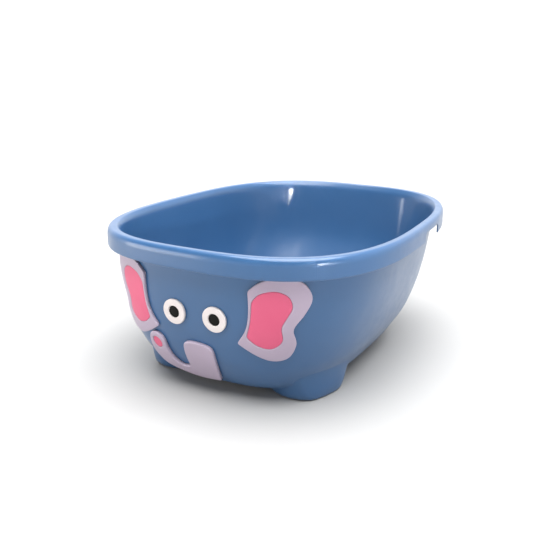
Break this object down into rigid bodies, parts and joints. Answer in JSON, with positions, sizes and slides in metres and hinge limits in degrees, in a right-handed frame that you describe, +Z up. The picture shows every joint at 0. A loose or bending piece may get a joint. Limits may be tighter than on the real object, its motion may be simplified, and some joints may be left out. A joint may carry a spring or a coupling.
{
  "type": "baby bathtub",
  "caption": "Baby bathtub: a deep oval basin with a rolled rim, low feet, a drain plug and an elephant face of raised ears, eyes and trunk on its short front wall.",
  "frame": {"origin": "on the floor under the middle of the tub's outline", "axes": "+Z up; the elephant's face and the steep short end look along -Y, the sloping back-rest end is at +Y; X runs across the tub, with +X on the right of someone facing the elephant"},
  "size_m": [0.5568, 0.7, 0.275],
  "materials": {
    "shell": "semi-gloss moulded plastic",
    "lilac": "satin soft plastic",
    "pink": "satin soft plastic",
    "cream": "semi-gloss plastic",
    "black": "semi-gloss plastic",
    "rubber": "matt rubber",
    "plug": "smooth plastic"
  },
  "bodies": {
    "tub": {"tub_shell": "shell", "ear_right": "lilac", "ear_pad_right": "pink", "eye_white_right": "cream", "pupil_right": "black", "ear_left": "lilac", "ear_pad_left": "pink", "eye_white_left": "cream", "pupil_left": "black", "trunk": "lilac", "trunk_spot": "pink", "foot_pad_front_left": "rubber", "foot_pad_front_right": "rubber", "foot_pad_rear_left": "rubber", "foot_pad_rear_right": "rubber"},
    "plug": {"drain_plug": "plug", "plug_seal": "rubber"}
  },
  "joints": [
    {"name": "plug_lift", "type": "slide", "parent": "tub", "child": "plug", "axis": [0, 0, 1], "range_m": [0, 0.06]}
  ]
}
